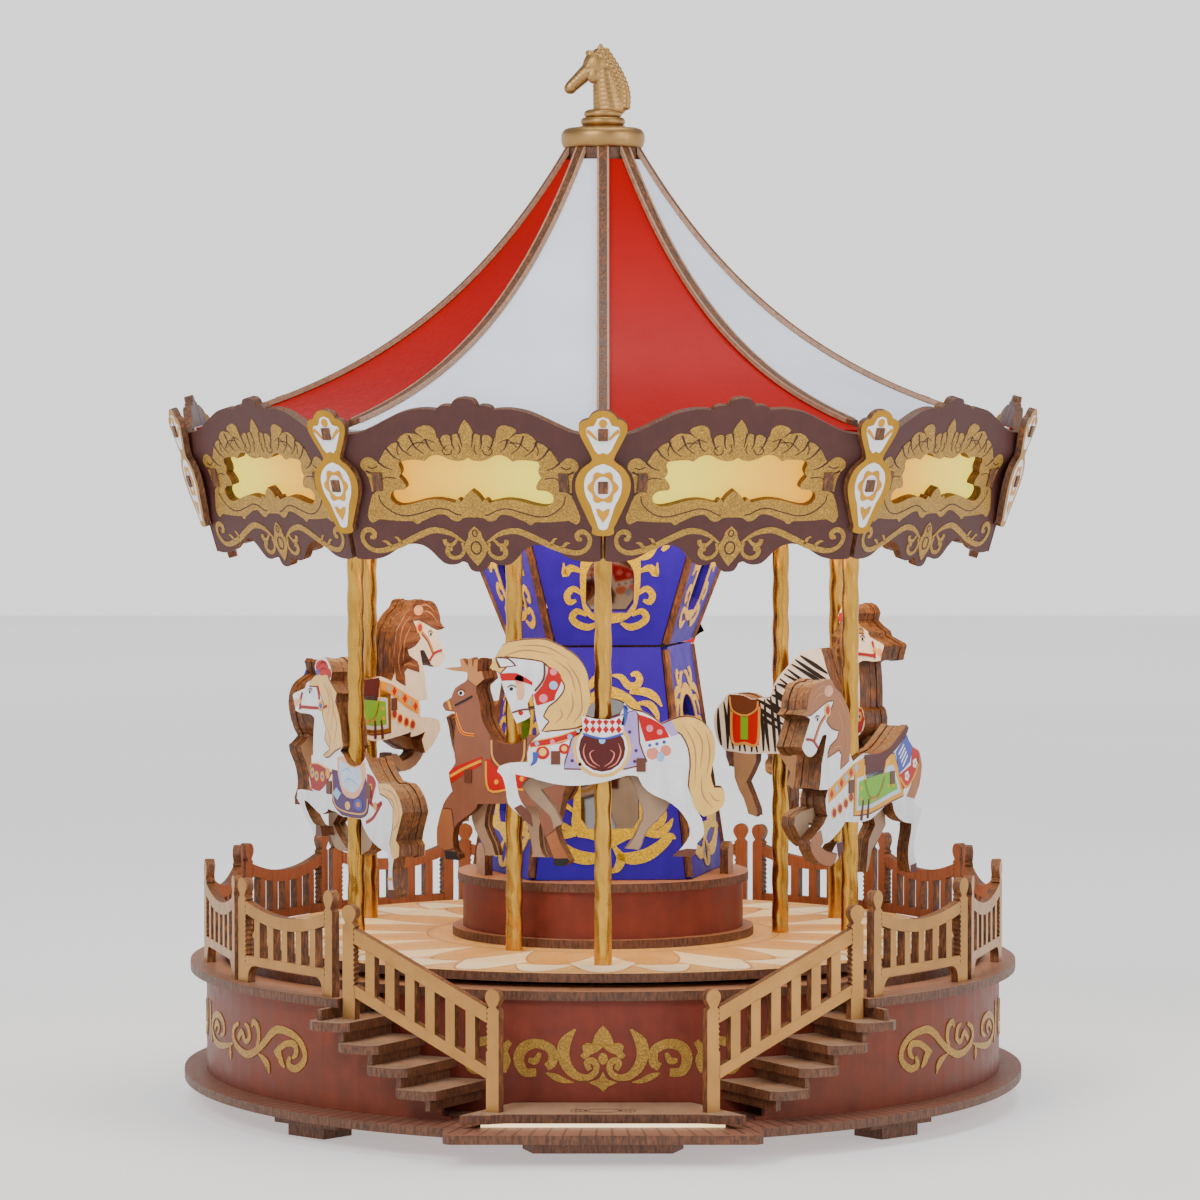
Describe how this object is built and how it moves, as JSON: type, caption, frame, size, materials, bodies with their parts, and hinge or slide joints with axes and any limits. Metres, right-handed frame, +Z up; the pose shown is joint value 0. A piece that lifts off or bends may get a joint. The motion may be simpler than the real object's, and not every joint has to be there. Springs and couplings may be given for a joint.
{
  "type": "carousel music box",
  "caption": "Free-standing wooden carousel music box: a turning canopy and disc with rising animals on a drum base with stairs and a start button.",
  "frame": {"origin": "on the surface that the box stands on, at the middle of its footprint; the spindle stands 9.1 mm behind it", "axes": "+Z up along the spindle, -Y towards the landing and stairs at the front, +X to the right seen from the front"},
  "size_m": [0.2504, 0.2781, 0.3107],
  "materials": {
    "plywood_base": "laser-cut plywood, stained pinkish brown, satin",
    "plywood_edge": "laser-burnt plywood, matt",
    "plywood_tan": "light plywood, satin",
    "drum_sheet": "bent thin plywood, red-brown, satin, with printed gold scrolls",
    "disc_print": "printed plywood, cream and ochre star, satin",
    "stair_print": "printed plywood, pale, satin",
    "gold_board": "plywood painted metallic gold",
    "fascia_brown": "chocolate brown painted plywood with gold glitter leaf",
    "cartouche_print": "white plywood with gold and ochre print",
    "roof_white": "glossy coated sheet, white",
    "roof_red": "glossy coated sheet, red",
    "tower_blue": "royal blue painted plywood with gold glitter scrolls",
    "mirror": "mirror film on board",
    "diffuser": "translucent, lit warm yellow from behind",
    "finial_gold": "satin metallic gold",
    "pole_gold": "twisted rod, polished gold",
    "animal_paint": "printed and painted plywood plies with burnt edges",
    "steel": "bright steel",
    "white_plastic": "moulded plastic",
    "black_plastic": "moulded plastic",
    "circuit": "circuit board, green solder mask"
  },
  "bodies": {
    "base": {"base_plate": "plywood_base", "base_feet": "plywood_edge", "drum_wall": "drum_sheet", "front_riser": "drum_sheet", "drum_formers": "plywood_tan", "walkway_ring": "plywood_tan", "stage_plate": "plywood_tan", "front_landing": "stair_print", "stair_treads": "stair_print", "stair_risers": "stair_print", "stair_railings": "gold_board", "left_fence_boards": "gold_board", "right_fence_boards": "gold_board", "cam_ring": "white_plastic", "gear_motor": "steel", "spindle_bearing": "steel", "battery_box": "black_plastic", "battery_cover": "plywood_edge", "control_board": "circuit", "speaker": "black_plastic"},
    "rotor": {"turntable_disc": "disc_print", "ring_gear": "white_plastic", "centre_spindle": "steel", "plinth_lower_disc": "plywood_tan", "plinth_wall": "drum_sheet", "plinth_upper_disc": "plywood_tan", "tower_lower_panels": "tower_blue", "tower_upper_panels": "tower_blue", "tower_mirrors": "mirror", "tower_frame": "plywood_edge", "canopy_floor": "plywood_tan", "light_board": "circuit", "roof_ribs": "plywood_tan", "roof_panels_white": "roof_white", "roof_panels_red": "roof_red", "frieze_panels": "fascia_brown", "frieze_cartouches": "cartouche_print", "window_diffusers": "diffuser", "roof_hub": "plywood_tan", "finial": "finial_gold"},
    "pinion": {"drive_pinion": "white_plastic"},
    "button": {"start_button": "stair_print"},
    "galloper_front": {"pole_1": "pole_gold", "horse_front": "animal_paint"},
    "galloper_left_front": {"pole_2": "pole_gold", "horse_left_front": "animal_paint"},
    "galloper_left_back": {"pole_3": "pole_gold", "horse_left_back": "animal_paint"},
    "galloper_back": {"pole_4": "pole_gold", "horse_back": "animal_paint"},
    "galloper_right_back": {"pole_5": "pole_gold", "horse_right_back": "animal_paint"},
    "galloper_right_front": {"pole_6": "pole_gold", "horse_right_front": "animal_paint"},
    "galloper_deer": {"pole_7": "pole_gold", "deer_front": "animal_paint"},
    "galloper_zebra": {"pole_8": "pole_gold", "zebra_right": "animal_paint"},
    "galloper_back_deer": {"pole_9": "pole_gold", "deer_back": "animal_paint"}
  },
  "joints": [
    {"name": "turntable_spin", "type": "hinge", "parent": "base", "child": "rotor", "pos_m": [0, 0.00909, 0.0471], "axis": [0, 0, 1], "continuous": true},
    {"name": "pinion_spin", "type": "hinge", "parent": "base", "child": "pinion", "pos_m": [0.01875, 0.04157, 0.0285], "axis": [0, 0, 1], "continuous": true},
    {"name": "button_press", "type": "slide", "parent": "base", "child": "button", "axis": [0, 0, 1], "range_m": [-0.001, 0], "stiffness_N_per_m": 60, "springref_m": 0.0002},
    {"name": "lift_front", "type": "slide", "parent": "rotor", "child": "galloper_front", "axis": [0, 0, 1], "range_m": [-0.0135, 0.0025]},
    {"name": "lift_left_front", "type": "slide", "parent": "rotor", "child": "galloper_left_front", "axis": [0, 0, 1], "range_m": [-0.001, 0.015]},
    {"name": "lift_left_back", "type": "slide", "parent": "rotor", "child": "galloper_left_back", "axis": [0, 0, 1], "range_m": [-0.006, 0.01]},
    {"name": "lift_back", "type": "slide", "parent": "rotor", "child": "galloper_back", "axis": [0, 0, 1], "range_m": [-0.008, 0.008]},
    {"name": "lift_right_back", "type": "slide", "parent": "rotor", "child": "galloper_right_back", "axis": [0, 0, 1], "range_m": [-0.011, 0.005]},
    {"name": "lift_right_front", "type": "slide", "parent": "rotor", "child": "galloper_right_front", "axis": [0, 0, 1], "range_m": [-0.0145, 0.0015]},
    {"name": "lift_deer", "type": "slide", "parent": "rotor", "child": "galloper_deer", "axis": [0, 0, 1], "range_m": [-0.0035, 0.0125]},
    {"name": "lift_zebra", "type": "slide", "parent": "rotor", "child": "galloper_zebra", "axis": [0, 0, 1], "range_m": [-0.0005, 0.0155]},
    {"name": "lift_back_deer", "type": "slide", "parent": "rotor", "child": "galloper_back_deer", "axis": [0, 0, 1], "range_m": [-0.008, 0.008]}
  ],
  "couplings": [
    {"joint": "pinion_spin", "follows": "turntable_spin", "ratio": -4}
  ]
}
